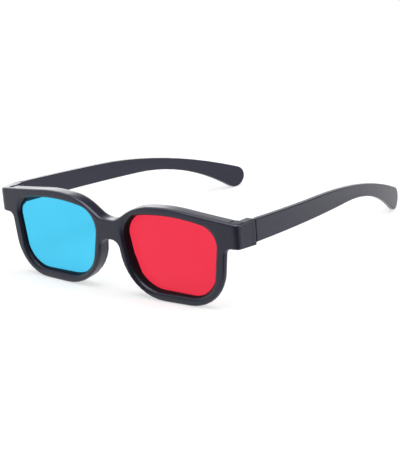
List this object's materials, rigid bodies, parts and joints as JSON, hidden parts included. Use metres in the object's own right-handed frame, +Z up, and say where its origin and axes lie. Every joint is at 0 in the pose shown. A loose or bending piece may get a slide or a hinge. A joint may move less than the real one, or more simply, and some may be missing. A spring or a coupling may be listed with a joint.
{
  "type": "3d glasses",
  "caption": "Open plastic 3d glasses with a red and a cyan filter sheet held between a front and a rear frame, and temples that fold on hinge pins.",
  "frame": {"origin": "on the table, below the middle of the open glasses", "axes": "+X to the wearer's left, +Y back along the temples, +Z up"},
  "size_m": [0.1496, 0.1718, 0.0457],
  "materials": {
    "frame": "satin black moulded plastic",
    "cyan_sheet": "clear cyan filter sheet",
    "red_sheet": "clear red filter sheet",
    "pin": "drawn steel"
  },
  "bodies": {
    "front": {"front_frame": "frame", "rear_frame": "frame", "right_lens": "cyan_sheet", "left_lens": "red_sheet", "right_hinge_pin": "pin", "left_hinge_pin": "pin"},
    "left_arm": {"left_temple": "frame"},
    "right_arm": {"right_temple": "frame"}
  },
  "joints": [
    {"name": "left_temple_fold", "type": "hinge", "parent": "front", "child": "left_arm", "pos_m": [0.0717, -0.06946, 0.0356], "axis": [0, 0, 1], "range_deg": [0, 86]},
    {"name": "right_temple_fold", "type": "hinge", "parent": "front", "child": "right_arm", "pos_m": [-0.0717, -0.06946, 0.0356], "axis": [0, 0, -1], "range_deg": [0, 80]}
  ]
}
